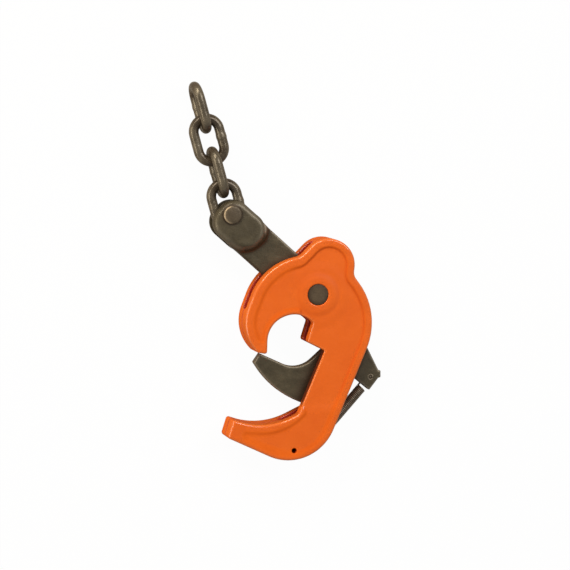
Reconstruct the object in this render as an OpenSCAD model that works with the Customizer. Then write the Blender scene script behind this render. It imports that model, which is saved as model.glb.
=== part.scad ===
// Drum lifting clamp, lying on its side: two cheeks with a lifting lever between them,
// a closing spring in the leg and a short lifting chain. Millimetres.
// X and Y lie in the plane of the cheeks, Z goes through them. The origin is where the
// main pin's axis meets the face that the clamp lies on.

/* [Body] */
// Thickness over both cheeks
body_t = 28; // [26:0.5:32]
// Gap between the cheeks, where the lever swings
slot_w = 9; // [8:0.5:11]
// Width of the raised rim
rim_w = 6.4; // [4.5:0.1:7]
// Depth of the web below the rim
web_drop = 1.8; // [1:0.1:2.5]
// Radius of the grip opening
grip_r = 19.9; // [18:0.1:22]
// Grip opening's centre from the main pin, along X
grip_x = -18.3; // [-20:0.1:-17]
// Grip opening's centre from the main pin, along Y
grip_y = -34.6; // [-37:0.1:-33]
// Radius of the outer curve over the grip
crown_r = 45.3; // [42:0.1:46]
// Radius of the outer curve of the nose
nose_r = 31.2; // [30:0.1:33]
// Radius of the head above the main pin
head_r = 20.1; // [18:0.1:21]
// Radius of the back, behind the grip
back_r = 50.9; // [48:0.1:54]
// Lean of the leg from the Y axis, degrees
leg_lean = 23; // [20:0.5:25]
// Depth of the foot's sole below the main pin, at the toe corner
toe_y = 137.8; // [130:0.2:145]
// Radius of the toe
toe_r = 37; // [30:1:40]
// Reach of the foot's tip from the main pin
foot_reach = 69.4; // [60:0.2:75]
// How far the back cheek's leg stands behind the front one's
leg_back_in = 7; // [3:0.5:9]
// Diameter of the tether hole in the foot
tether_d = 4; // [3:0.5:6]

/* [Main pin] */
// Diameter of the main pin
pin_d = 16; // [12:0.5:18]
// Diameter of the boss round the main pin
boss_d = 28; // [25:0.5:30]
// Radial clearance of a running fit
run_gap = 0.05; // [0.02:0.01:0.08]

/* [Lever] */
// Thickness of the lever
lever_t = 8.4; // [7:0.1:8.6]
// Distance from main pin to clevis pin
arm_len = 89; // [80:1:100]
// Direction of the arm from the X axis, degrees
arm_angle = 138; // [134:0.5:142]
// Arm's upper edge from the main pin's axis
arm_up = 13.3; // [11:0.1:14]
// Arm's lower edge from the main pin's axis
arm_low = 15.8; // [12.5:0.1:16.2]
// Radius of the hub round the main pin
hub_r = 18; // [15:0.5:18.5]
// Distance from main pin to the tail's roll pin
tail_len = 77.6; // [74:0.4:80]
// Farthest opening of the lever, degrees
open_angle = 34; // [25:1:34]

/* [Clevis] */
// Thickness over both clevis cheeks
clevis_t = 23; // [20:0.5:24]
// Gap between the clevis cheeks
clevis_gap = 9; // [8.6:0.2:10]
// Width of the clevis cheeks
clevis_w = 30.5; // [28:0.5:34]
// Diameter of the clevis pin
clevis_pin_d = 10; // [8:0.5:10.5]
// Diameter of the clevis pin's head
clevis_head_d = 14; // [12:0.5:18]

/* [Spring] */
// Outer diameter of the closing spring
spring_d = 7.8; // [6:0.2:8.4]
// Wire of the closing spring
spring_wire = 1.3; // [1:0.1:1.6]
// Length of the coiled part
coil_len = 42; // [36:1:44]
// Diameter of the tail's roll pin and of the anchor pin
roll_pin_d = 5; // [4:0.5:6]

/* [Chain] */
// Wire of the chain
chain_wire = 7.4; // [6:0.2:8.4]
// Inside length of a link
link_len = 25.2; // [24:0.2:30]
// Inside width of a link
link_w = 12.2; // [11:0.2:13]
// Lean of the chain from the Y axis, degrees
chain_lean = 15.3; // [0:0.1:30]

/* [Hidden] */

orange = [0.89, 0.36, 0.12];
steel = [0.30, 0.27, 0.24];
blued = [0.24, 0.24, 0.25];
$fn = 96;
// Largest turn of a drawn arc between two of its points, degrees
arc_step = 10;
mid_z = body_t / 2;

// Geometry of lines and rounded outlines

function turned(v, a) = [v[0] * cos(a) - v[1] * sin(a), v[0] * sin(a) + v[1] * cos(a)];
function ray(a, r) = [r * cos(a), r * sin(a)];
function unit(v) = v / norm(v);
function left_of(v) = [-v[1], v[0]];
function cross2(u, v) = u[0] * v[1] - u[1] * v[0];
function xy(p) = [p[0], p[1]];
// Where the line through p along u meets the line through q along v
function meet(p, u, q, v) = p + u * cross2(q - p, v) / cross2(u, v);
// Line whose left side lies towards the axis, at distance d from it, its normal at angle a
function line_at(a, d) = [ray(a, d), ray(a + 90, 1)];
function crossing(l, m) = meet(l[0], l[1], m[0], m[1]);
function corner(p, r) = [p[0], p[1], r];

// Corners [x, y, radius] of a counterclockwise outline, each moved inwards by d
function inset(c, d) = [for (i = [0:len(c) - 1])
    let (p = xy(c[i]), n = len(c),
        u = unit(p - xy(c[(i + n - 1) % n])), v = unit(xy(c[(i + 1) % n]) - p),
        q = meet(p + left_of(u) * d, u, p + left_of(v) * d, v),
        convex = cross2(u, v) > 0)
    corner(q, max(0.2, convex ? c[i][2] - d : c[i][2] + d))];

// Points of one rounded corner
function rounding(a, b, c, r) =
    let (u = unit(b - a), v = unit(c - b), turn = atan2(cross2(u, v), u * v),
        side = turn > 0 ? 1 : -1, run = r * tan(abs(turn) / 2),
        centre = b - u * run + left_of(u) * side * r,
        steps = max(1, ceil(abs(turn) / arc_step - 0.01)))
    [for (k = [0:steps]) centre - turned(left_of(u) * side * r, turn * k / steps)];

function outline(c) = [for (i = [0:len(c) - 1])
    let (n = len(c))
    each rounding(xy(c[(i + n - 1) % n]), xy(c[i]), xy(c[(i + 1) % n]), c[i][2])];

// A plate with a rounded outline
module plate(c, low, high) {
    translate([0, 0, low]) linear_extrude(high - low) polygon(outline(c));
}

// Outline of a cheek, seen from the front

grip = [grip_x, grip_y];
crown_c = grip + [11.2, 18.4];
nose_c = grip + [-6.4, 14.6];
head_c = [8.5, 21.9];
back_c = grip + [9.5, 12.5];
// Directions of the outline where one curve ends and the next begins
back_out = 36.5;
head_in = -6;
head_mid = 66;
head_out = 135;
crown_in = 103;
nose_in = 160;
nose_out = 222;
sole_a = -25.2;
sole_dir = ray(sole_a, 1);

back_line = line_at(-leg_lean, back_c * ray(-leg_lean, 1) + back_r);
leg_front = line_at(-leg_lean, 21.5);
toe = meet(back_line[0], back_line[1], [0, -toe_y], [1, 0]);
tip_low = meet(toe, sole_dir, [-foot_reach, 0], [0, 1]);
tip_top = tip_low + [4.4, 13.7];
heel_top = grip + ray(45, grip_r) + ray(-45, 1);
heel_low = heel_top + [-4.6, -14.3];
lip = meet(leg_front[0], leg_front[1], heel_low - [0, 6.9], [1, 0]);
ankle = meet(leg_front[0], leg_front[1], [0, tip_top[1] + 2.8], [1, 0]);
instep = tip_top + [25.4, -9];
back_front = leg_front[0] + ray(-leg_lean, leg_back_in);
back_lip = meet(back_front, leg_front[1], lip, lip - heel_low);
back_ankle = meet(back_front, leg_front[1], ankle, ankle - instep);

function tangent(c, r, a) = [c + ray(a, r), ray(a + 90, 1)];
// Corner that rounds an arc between two directions of its normal
function arc_corner(c, r, a, b) = corner(c + ray((a + b) / 2, r / cos((b - a) / 2)), r - 0.4);

// Outline of a cheek, by where its leg's front edge begins and ends
function cheek_corners(lip, ankle) = [
    corner(tip_low, 2.5),
    corner(toe, toe_r),
    arc_corner(back_c, back_r, -leg_lean, back_out),
    corner(crossing(tangent(back_c, back_r, back_out), tangent(head_c, head_r, head_in)), 8),
    arc_corner(head_c, head_r, head_in, head_mid),
    arc_corner(head_c, head_r, head_mid, head_out),
    corner(crossing(tangent(head_c, head_r, head_out), tangent(crown_c, crown_r, crown_in)), 10),
    arc_corner(crown_c, crown_r, crown_in, nose_in),
    arc_corner(nose_c, nose_r, nose_in, nose_out),
    corner(nose_c + ray(nose_out, nose_r) + ray(nose_out + 90, 2.6), 2),
    corner(grip + [-grip_r - 0.8, -9.4], 1.8),
    arc_corner(grip, grip_r, 180, 112.5),
    arc_corner(grip, grip_r, 112.5, 45),
    corner(heel_top, 1.2),
    corner(heel_low, 2.2),
    corner(lip, 1.5),
    corner(ankle, 5),
    corner(instep, 54),
    corner(tip_top, 2)
];

// The sunk web inside the rim. It runs out over the leg's front edge, where there is no rim
rim_nose = rim_w + 1;
rim_grip = 3.8;
crown_web = crown_r - rim_nose;
nose_web = nose_r - rim_nose;
grip_web = grip_r + rim_grip;
sole_in = [toe + left_of(sole_dir) * 5, sole_dir];
back_in = line_at(-leg_lean, back_c * ray(-leg_lean, 1) + back_r - rim_w);
web_nose_out = 200;
web_grip_out = 176;

function web_corners(leg_foot) = [
    corner(meet(sole_in[0], sole_in[1], [14 - foot_reach, 0], [0, 1]), 1.4),
    corner(crossing(sole_in, back_in), toe_r - rim_w),
    arc_corner(back_c, back_r - rim_w, -leg_lean, back_out),
    corner(crossing(tangent(back_c, back_r - rim_w, back_out),
        tangent(head_c, head_r - rim_w, head_in)), 10),
    arc_corner(head_c, head_r - rim_w, head_in, head_mid),
    arc_corner(head_c, head_r - rim_w, head_mid, head_out),
    corner(crossing(tangent(head_c, head_r - rim_w, head_out),
        tangent(crown_c, crown_web, crown_in)), 12),
    arc_corner(crown_c, crown_web, crown_in, nose_in),
    arc_corner(nose_c, nose_web, nose_in, web_nose_out),
    corner(nose_c + ray(web_nose_out, nose_web) + ray(web_nose_out + 90, 5.8), 1.3),
    corner(grip + ray(web_grip_out, grip_web) + ray(web_grip_out + 90, 2.2), 1.3),
    arc_corner(grip, grip_web, web_grip_out, 136),
    arc_corner(grip, grip_web, 136, 96),
    corner(grip + [5, 24.6], 2),
    corner(grip + [5, 12], 2),
    corner(grip + [4.5, -4], 2),
    corner(lip + [-8, -5], 2),
    corner(ankle + [0, 8.5], 2),
    corner(leg_foot + [6.2, 1], 3),
    corner(ankle + [-11.6, -15.5], 44),
    corner(tip_top + [8.3, -10.2], 1.4)
];

// Room for the lever between the cheeks. Outside it, the cheeks meet on the middle plane
lever_open = arm_angle + open_angle;
hub_room = hub_r + 3.5;
tail_edge_a = 26.7;
tail_edge_d = 17.8;
slot_top_a = 97.6;
slot_top_in = 72;

module half_plane(a, d) {
    rotate(a) translate([d, -200]) square(400);
}

// Round the head and down the back, clear of hub, arm and tail
module spine_area() {
    difference() {
        intersection() {
            half_plane(tail_edge_a + open_angle, tail_edge_d + 0.7);
            polygon([ray(slot_top_in, hub_r), ray(-35, 90), ray(30, 140), ray(80, 90),
                ray(slot_top_a, 80), ray(slot_top_a, 37.8)]);
        }
        circle(r = hub_room);
    }
}

// The nose, below the arm at its widest opening
module nose_area() {
    intersection() {
        half_plane(lever_open + 90, arm_low + 0.7);
        translate([grip_x - 90, -100]) square([90 - 7.5, 200]);
    }
}

// Along the sole, which carries the tether hole
module sole_area() {
    translate(sole_in[0]) rotate(sole_a) translate([-58, -20]) square([45, 32.5]);
}

// The lever's half of the slot, open all round except where the cheeks meet
module slot_room() {
    translate([0, 0, mid_z - 1]) linear_extrude(slot_w / 2 + 1) difference() {
        translate([-200, -200]) square(400);
        spine_area();
        nose_area();
        sole_area();
    }
}

main_boss_r = boss_d / 2;
tether = toe + sole_dir * -22.7 + left_of(sole_dir) * 11.6;

// Forged cheek with its outer face up at body_t
module cheek(lip, ankle) {
    top = body_t;
    web = top - web_drop;
    difference() {
        union() {
            difference() {
                plate(cheek_corners(lip, ankle), mid_z, top);
                plate(inset(web_corners(ankle), web_drop / 2), web, top + 1);
            }
            boss(web, top);
        }
        slot_room();
        translate([0, 0, -1]) cylinder(d = pin_d, h = body_t + 2);
        translate([tether[0], tether[1], -1]) cylinder(d = tether_d, h = body_t + 2);
        translate([anchor[0], anchor[1], mid_z - 1])
            cylinder(d = roll_pin_d, h = 1 + slot_w / 2 + anchor_seat);
    }
}

// Ring round the main pin, with a sloped foot and a bevelled top
module boss(web, top) {
    rotate_extrude() polygon([[pin_d / 4, web - 2], [main_boss_r + web_drop * 0.6, web - 2],
        [main_boss_r + web_drop * 0.6, web], [main_boss_r, web + 0.8], [main_boss_r, top - 0.5],
        [main_boss_r - 0.5, top], [pin_d / 4, top]]);
}

// Lifting lever: arm with clevis, hub on the main pin, gripping jaw and tail

// Point at distance s out along the arm and t above its line through the main pin
function at_arm(s, t) = ray(arm_angle, s) + ray(arm_angle - 90, t);
clevis_pin_at = at_arm(arm_len, 1.7);
tail_a = -56.15;
tail_pin_at = ray(tail_a, tail_len);
spring_a = 48;
spring_span = 63.9;
anchor = tail_pin_at - ray(spring_a, spring_span);
anchor_seat = 3.6;

arm_upper = line_at(arm_angle - 90, arm_up);
tail_outer = line_at(tail_edge_a, tail_edge_d);
jaw_tip = grip + [-24.3, -9.8];
jaw_heel = jaw_tip + [-4.7, -6.7];

lever_corners = [
    corner(at_arm(arm_len - 13, -arm_low), 1),
    corner(grip + [33.1, 0.1], 10),
    corner(grip + [6.2, -24], 20),
    corner(jaw_tip, 0.8),
    corner(jaw_heel, 1),
    corner(jaw_heel + [14.2, -22.2], 70),
    corner(grip + [16.1, -51.4], 9),
    corner(tail_pin_at + [-13.3, 0.4], 2),
    corner(tail_pin_at + [-0.8, -10], 0.8),
    corner(tail_pin_at + [6.3, -0.6], 0.8),
    corner(tail_pin_at + [8.2, 0.1], 0.5),
    corner(tail_pin_at + [8.2, 4.2], 0.5),
    corner(tail_pin_at + [6.3, 5.8], 0.5),
    corner(crossing(tail_outer, arm_upper), 20),
    corner(at_arm(arm_len - 13, arm_up), 1)
];

clevis_root = arm_len - 30;
clevis_end = arm_len + 9.9;
clevis_low_by = 1.1;
clevis_slot_floor = arm_len - 15.5;
clevis_corners = [
    corner([clevis_root, clevis_low_by - clevis_w / 2], 13.5),
    corner([clevis_end, clevis_low_by - clevis_w / 2], 13),
    corner([clevis_end, clevis_low_by + clevis_w / 2], 13),
    corner([clevis_root, clevis_low_by + clevis_w / 2], 13.5)
];

module lifting_lever() {
    low = mid_z - lever_t / 2;
    high = mid_z + lever_t / 2;
    color(steel) difference() {
        union() {
            plate(lever_corners, low, high);
            translate([0, 0, low]) cylinder(r = hub_r, h = lever_t);
            rotate(arm_angle)
                plate(clevis_corners, clevis_low, clevis_high);
        }
        translate([0, 0, -1]) cylinder(r = pin_d / 2 + run_gap, h = body_t + 2);
        rotate(arm_angle) translate([clevis_slot_floor, -50, mid_z - clevis_gap / 2])
            cube([60, 100, clevis_gap]);
        at_clevis_pin(-1) cylinder(d = clevis_pin_d, h = body_t + 2);
        translate([tail_pin_at[0], tail_pin_at[1], low - 1]) cylinder(d = roll_pin_d, h = lever_t + 2);
        spring_slit();
    }
}

// Slit in the tail's mid-plane, where the spring's hook lies round the roll pin
module spring_slit() {
    width = spring_wire + 0.9;
    reach = roll_pin_d / 2 + spring_wire + 1;
    translate([tail_pin_at[0], tail_pin_at[1], mid_z - width / 2])
        rotate(spring_a) translate([-20, -reach, 0]) cube([20 + reach, 2 * reach, width]);
}

module at_clevis_pin(z) {
    translate([clevis_pin_at[0], clevis_pin_at[1], z]) children();
}

clevis_low = mid_z - clevis_t / 2;
clevis_high = mid_z + clevis_t / 2;
ring_groove = 0.8;
ring_t = 1;
ring_gap = 0.1;

// Headed load pin of the clevis, grooved at its plain end
module clevis_pin() {
    r = clevis_pin_d / 2;
    head = clevis_head_d / 2;
    low = clevis_low - ring_t - 1.1;
    high = clevis_high + 2.3;
    color(steel) at_clevis_pin(0) rotate_extrude() polygon([
        [0, low], [r - 0.5, low], [r, low + 0.5],
        [r, clevis_low - ring_t - ring_gap], [r - ring_groove, clevis_low - ring_t - ring_gap],
        [r - ring_groove, clevis_low], [r, clevis_low],
        [r, clevis_high], [head, clevis_high], [head, high - 0.8], [head - 0.8, high], [0, high]]);
}

// Open retaining ring in the pin's groove
module clevis_pin_ring() {
    r = clevis_pin_d / 2;
    color(blued) at_clevis_pin(clevis_low - ring_t - ring_gap / 2) difference() {
        cylinder(r = r + 2, h = ring_t);
        translate([0, 0, -1]) cylinder(r = r - ring_groove + 0.05, h = ring_t + 2);
        rotate(arm_angle) translate([0, -r * 0.55, -1]) cube([r * 3, r * 1.1, ring_t + 2]);
    }
}

// Main pin, flush on the lying side and a little sunk on the other
module main_pin() {
    r = pin_d / 2;
    color(steel) rotate_extrude() polygon([
        [0, 0], [r - 0.4, 0], [r, 0.4], [r, body_t - 0.9], [r - 0.4, body_t - 0.5], [0, body_t - 0.5]]);
}

// Slotted spring pin
module roll_pin(length) {
    difference() {
        cylinder(d = roll_pin_d, h = length);
        translate([0, 0, -1]) cylinder(d = roll_pin_d * 0.56, h = length + 2);
        translate([0, -roll_pin_d * 0.08, -1]) cube([roll_pin_d, roll_pin_d * 0.16, length + 2]);
    }
}

module tail_roll_pin() {
    color(blued) translate([tail_pin_at[0], tail_pin_at[1], mid_z - lever_t / 2])
        rotate(-20) roll_pin(lever_t);
}

// Anchor of the spring, held in blind seats of both cheeks
module spring_anchor_pin() {
    reach = slot_w / 2 + anchor_seat - 0.1;
    color(blued) translate([anchor[0], anchor[1], mid_z - reach])
        cylinder(d = roll_pin_d, h = 2 * reach);
}

// Close-wound extension spring with a side hook at each end
coil_r = (spring_d - spring_wire) / 2;
hook_r = roll_pin_d / 2 + 0.2 + spring_wire / 2;
coil_start = 11.3;

module closing_spring() {
    turns = floor(coil_len / spring_wire);
    color(blued) translate([anchor[0], anchor[1], mid_z]) rotate(spring_a) {
        translate([coil_start, 0, 0]) rotate([0, 90, 0]) rotate_extrude() polygon(concat(
            [for (k = [0:turns - 1]) for (a = [-80:40:80])
                [coil_r + spring_wire / 2 * cos(a), spring_wire * (k + 0.5) + spring_wire / 2 * sin(a)]],
            [[coil_r - 0.3, turns * spring_wire - 0.1], [coil_r - 0.3, 0.1]]));
        spring_hook(coil_start + 0.5);
        translate([spring_span, 0, 0]) rotate(180)
            spring_hook(spring_span - coil_start - turns * spring_wire + 0.5);
    }
}

// Hook round a pin at the origin, its shank running out along X to the coil's edge
module spring_hook(shank) {
    rotate(90) rotate_extrude(angle = 270) translate([hook_r, 0]) circle(d = spring_wire, $fn = 24);
    translate([0, hook_r, 0]) rotate([0, 90, 0]) cylinder(d = spring_wire, h = shank, $fn = 24);
}

// Lifting chain

chain_play = 0.2;
chain_side = 0.4;
bow_r = (link_w + chain_wire) / 2;
bow_y = (link_len - link_w) / 2;

// Welded link, its length along Y
module chain_link() {
    for (side = [-1, 1])
        translate([side * bow_r, -bow_y, 0]) rotate([-90, 0, 0]) cylinder(d = chain_wire, h = 2 * bow_y);
    for (end = [0, 180])
        rotate(end) translate([0, bow_y, 0]) rotate_extrude(angle = 180)
            translate([bow_r, 0]) circle(d = chain_wire);
    translate([bow_r, 0, 0]) rotate([-90, 0, 0]) weld_bead();
}

// Upset bead where the link's bar is butt welded
module weld_bead() {
    r = chain_wire / 2;
    rotate_extrude() polygon([[0, -2.6], [r - 0.1, -2.6], [r + 0.3, -1.8], [r + 0.45, -0.6],
        [r + 0.45, 0.6], [r + 0.3, 1.8], [r - 0.1, 2.6], [0, 2.6]]);
}

// Link number i from the clevis. Odd links lie flat, even ones stand on edge
module placed_link(i) {
    along = link_len / 2 - clevis_pin_d / 2 - chain_play + (i - 1) * (link_len - chain_play);
    at = clevis_pin_at + ray(90 + chain_lean, along) + ray(180 + chain_lean, chain_side);
    color(steel) translate([at[0], at[1], mid_z]) rotate(chain_lean)
        rotate([0, i % 2 == 0 ? 90 : 0, 0]) chain_link();
}

module front_cheek() {
    color(orange) cheek(lip, ankle);
}

module back_cheek() {
    color(orange) translate([0, 0, body_t]) mirror([0, 0, 1]) cheek(back_lip, back_ankle);
}

module chain_link_1() { placed_link(1); }
module chain_link_2() { placed_link(2); }
module chain_link_3() { placed_link(3); }
module chain_link_4() { placed_link(4); }

front_cheek();
back_cheek();
main_pin();
spring_anchor_pin();
lifting_lever();
clevis_pin();
clevis_pin_ring();
tail_roll_pin();
closing_spring();
chain_link_1();
chain_link_2();
chain_link_3();
chain_link_4();
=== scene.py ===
"""Looks of the drum lifting clamp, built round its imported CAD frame."""

import math

import bmesh
import bpy
import numpy as np
from mathutils import Matrix, Vector
from mathutils.geometry import delaunay_2d_cdt
from mathutils.kdtree import KDTree


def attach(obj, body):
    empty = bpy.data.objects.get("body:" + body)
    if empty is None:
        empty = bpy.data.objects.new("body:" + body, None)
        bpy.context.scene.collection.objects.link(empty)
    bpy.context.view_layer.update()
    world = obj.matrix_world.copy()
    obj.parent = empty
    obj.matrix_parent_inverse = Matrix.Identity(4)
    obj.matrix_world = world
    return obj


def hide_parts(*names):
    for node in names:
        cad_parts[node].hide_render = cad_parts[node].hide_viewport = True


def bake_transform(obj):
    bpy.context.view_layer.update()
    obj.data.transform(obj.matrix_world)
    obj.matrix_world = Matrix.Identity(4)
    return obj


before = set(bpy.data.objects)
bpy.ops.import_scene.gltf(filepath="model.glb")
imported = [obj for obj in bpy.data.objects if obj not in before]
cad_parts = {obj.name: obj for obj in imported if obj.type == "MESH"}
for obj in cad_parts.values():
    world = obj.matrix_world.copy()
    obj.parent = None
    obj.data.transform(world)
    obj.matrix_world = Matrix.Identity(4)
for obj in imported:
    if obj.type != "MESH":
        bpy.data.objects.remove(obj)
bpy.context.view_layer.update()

# Camera: almost square on to the cheeks, 13 degrees from the clamp's nose side and 5 from above,
# far off with a long lens, so that the two cheeks' outlines show side by side.
MM = 0.001
BODY_T = 28.0
SIDE_TURN = math.radians(13)
RAISE = math.radians(5)
PIXEL = 0.75 * MM
PICTURE = 570
CAMERA_FAR = 2.0
SENSOR = 36
back = Vector((
    -math.sin(SIDE_TURN) * math.cos(RAISE), math.sin(RAISE), math.cos(SIDE_TURN) * math.cos(RAISE)))
right = Vector((math.cos(SIDE_TURN), 0, math.sin(SIDE_TURN)))
up = back.cross(right)
pin_face = Vector((0, 0, BODY_T * MM))
pin_pixel = (317.8, 294.3)
aim = (
    pin_face
    + right * (PICTURE / 2 - 0.5 - pin_pixel[0]) * PIXEL
    + up * (pin_pixel[1] + 0.5 - PICTURE / 2) * PIXEL)


def in_scene(name, data):
    """A new object of the scene for a mesh, a camera or a lamp."""
    obj = bpy.data.objects.new(name, data)
    bpy.context.collection.objects.link(obj)
    return obj


camera_data = bpy.data.cameras.new("camera")
camera_data.sensor_width = SENSOR
camera_data.lens = SENSOR * CAMERA_FAR / (PICTURE * PIXEL)
camera_data.clip_end = 20
camera = in_scene("camera", camera_data)
camera.matrix_world = Matrix.Translation(aim + back * CAMERA_FAR) @ Matrix(
    (right, up, back)).transposed().to_4x4()
bpy.context.scene.camera = camera


# Cheeks: two drop-forged hooks, alike about the middle plane, with a raised rim, a sunk web that
# runs out over the leg's front edge and a low boss round the main pin. They are dressed, welded
# where they meet and stove painted orange, glossy, with a little orange peel.
MID_Z = BODY_T / 2
# Sizes are in millimetres and angles in degrees.
SLOT_W = 9.0
RIM_W = 6.4
WEB_DROP = 1.8
PIN_D = 16.0
BOSS_R = 14.0
GRIP_R = 19.9
CROWN_R = 45.3
NOSE_R = 31.2
HEAD_R = 20.1
BACK_R = 50.9
LEG_LEAN = 23.0
LEG_FRONT_IN = 21.5
TOE_Y = 137.8
TOE_R = 37.0
FOOT_REACH = 69.4
LEG_BACK_IN = 7.0
TETHER_D = 4.0
TETHER_IN = 22.7
TETHER_UP = 11.6
HUB_R = 18.0
ARM_A = 138.0
ARM_LOW = 15.8
OPEN_A = 34.0
SOLE_A = -25.2
TAIL_EDGE_A = 26.7
TAIL_EDGE_D = 17.8
SWEEP_GAP = 0.7
# Directions in degrees, seen from the arcs' centres, in which the outline's arcs begin and end.
BACK_OUT, HEAD_IN, HEAD_MID, HEAD_OUT = 36.5, -6.0, 66.0, 135.0
CROWN_IN, NOSE_IN, NOSE_OUT = 103.0, 160.0, 222.0
# Finest turn in degrees and step in millimetres along an outline, the least radius of its
# corners, and the distance of a surface's rows of points for each step along a row.
FINE_ARC = 4.0
FINE_STEP = 1.3
LEAST_ROUND = 0.15
HEX_ROW = 0.866


def shell(name, points, faces, edges=()):
    """A mesh object in the scene, from points in millimetres."""
    mesh = bpy.data.meshes.new(name)
    mesh.from_pydata((np.asarray(points, float) * MM).tolist(), list(edges), faces)
    return in_scene(name, mesh)


def ray(angle, length=1.0):
    """Vector in the clamp's plane, at an angle in degrees from X."""
    return np.array([length * math.cos(math.radians(angle)), length * math.sin(math.radians(angle))])


def cross2(u, v):
    return u[0] * v[1] - u[1] * v[0]


def left_of(v):
    return np.array([-v[1], v[0]])


def meet(p, u, q, v):
    """Where the line through p along u meets the line through q along v."""
    p, u, q, v = (np.asarray(w, float) for w in (p, u, q, v))
    return p + u * cross2(q - p, v) / cross2(u, v)


def line_at(angle, distance):
    """Line square to a direction, at a distance from the main pin: its point and its direction."""
    return ray(angle, distance), ray(angle + 90)


def tangent(centre, radius, angle):
    return centre + ray(angle, radius), ray(angle + 90)


def crossing(a, b):
    return meet(a[0], a[1], b[0], b[1])


def corner(point, radius):
    """One corner of an outline, with the radius that rounds it."""
    return float(point[0]), float(point[1]), radius


def arc_corner(centre, radius, a, b):
    """Corner that rounds an arc between two directions of its normal."""
    return corner(
        centre + ray((a + b) / 2, radius / math.cos(math.radians((b - a) / 2))), radius - 0.4)


def outline(corners, inwards=0.0):
    """Closed loop of points through rounded corners, moved inwards. Its count never changes."""
    c = np.array(corners, float)
    n = len(c)
    ends = []
    for i in range(n):
        p, q, r = c[i - 1, :2], c[i, :2], c[(i + 1) % n, :2]
        u = (q - p) / np.linalg.norm(q - p)
        v = (r - q) / np.linalg.norm(r - q)
        side = 1 if cross2(u, v) > 0 else -1
        at = meet(q + left_of(u) * inwards, u, q + left_of(v) * inwards, v)
        radius = max(LEAST_ROUND, c[i, 2] - side * inwards)
        turn = math.degrees(math.atan2(cross2(u, v), u @ v))
        run = radius * math.tan(math.radians(abs(turn) / 2))
        centre = at - u * run + left_of(u) * side * radius
        steps = max(2, math.ceil(abs(turn) / FINE_ARC - 0.01))
        arc = []
        for k in range(steps + 1):
            a = math.radians(turn * k / steps)
            w = -left_of(u) * side * radius
            arc.append(centre + np.array([
                w[0] * math.cos(a) - w[1] * math.sin(a), w[0] * math.sin(a) + w[1] * math.cos(a)]))
        ends.append(arc)
    loop = []
    for i in range(n):
        loop += ends[i]
        here, there = ends[i][-1], ends[(i + 1) % n][0]
        plain = np.linalg.norm(c[(i + 1) % n, :2] - c[i, :2])
        pieces = max(1, int(plain / FINE_STEP / 2))
        loop += [here + (there - here) * k / pieces for k in range(1, pieces)]
    return np.array(loop)


def circle(centre, radius, count):
    a = np.arange(count) * 2 * math.pi / count
    return np.stack([centre[0] + radius * np.cos(a), centre[1] + radius * np.sin(a)], 1)


AT_ONCE = 3000


def inside_by(points, loop):
    """Distance of each point from a closed loop, positive inside it."""
    b = np.roll(loop, -1, 0)
    ab = b - loop
    length = np.maximum((ab * ab).sum(1), 1e-12)
    rise = np.where(np.abs(ab[:, 1]) < 1e-12, 1e-12, ab[:, 1])
    result = np.empty(len(points))
    for start in range(0, len(points), AT_ONCE):
        p = points[start:start + AT_ONCE, None]
        t = np.clip(((p - loop) * ab).sum(2) / length, 0, 1)
        gap = p - loop - t[..., None] * ab
        distance = np.sqrt((gap * gap).sum(2).min(1))
        spans = (loop[:, 1] <= p[..., 1]) != (b[:, 1] <= p[..., 1])
        at_x = loop[:, 0] + (p[..., 1] - loop[:, 1]) * ab[:, 0] / rise
        odd = (spans & (at_x > p[..., 0])).sum(1) % 2 == 1
        result[start:start + AT_ONCE] = np.where(odd, distance, -distance)
    return result


def ease(t):
    """Smooth rise from 0 to 1 as t goes from 0 to 1."""
    t = np.clip(t, 0, 1)
    return t * t * (3 - 2 * t)


def band(distance, width):
    """Mask that is 1 at distance 0 and fades on both sides over about a width."""
    return np.exp(-(distance / width) ** 2)


def from_centre(points, centre=(0, 0)):
    """Distance of points from a centre, which is the main pin's if none is given."""
    return np.hypot(points[:, 0] - centre[0], points[:, 1] - centre[1])


def rounded_off(distance, radius):
    """Drop of a surface with a quarter-round edge, at a distance from that edge."""
    near = np.clip(radius - distance, 0, radius)
    return radius - np.sqrt(np.maximum(radius * radius - near * near, 0))


def round_rings(radius, count=8):
    """Distances from an edge at which a quarter-round edge needs rings of points."""
    return [radius * (1 - math.cos(math.pi / 2 * k / count)) for k in range(count + 1)]


def keep_mask(mesh, name, domain, values):
    """Stores numbers on a mesh's points or faces, for its shader to read."""
    layer = mesh.attributes.new(name, "FLOAT", domain)
    layer.data.foreach_set("value", np.asarray(values, np.float32))


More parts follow.
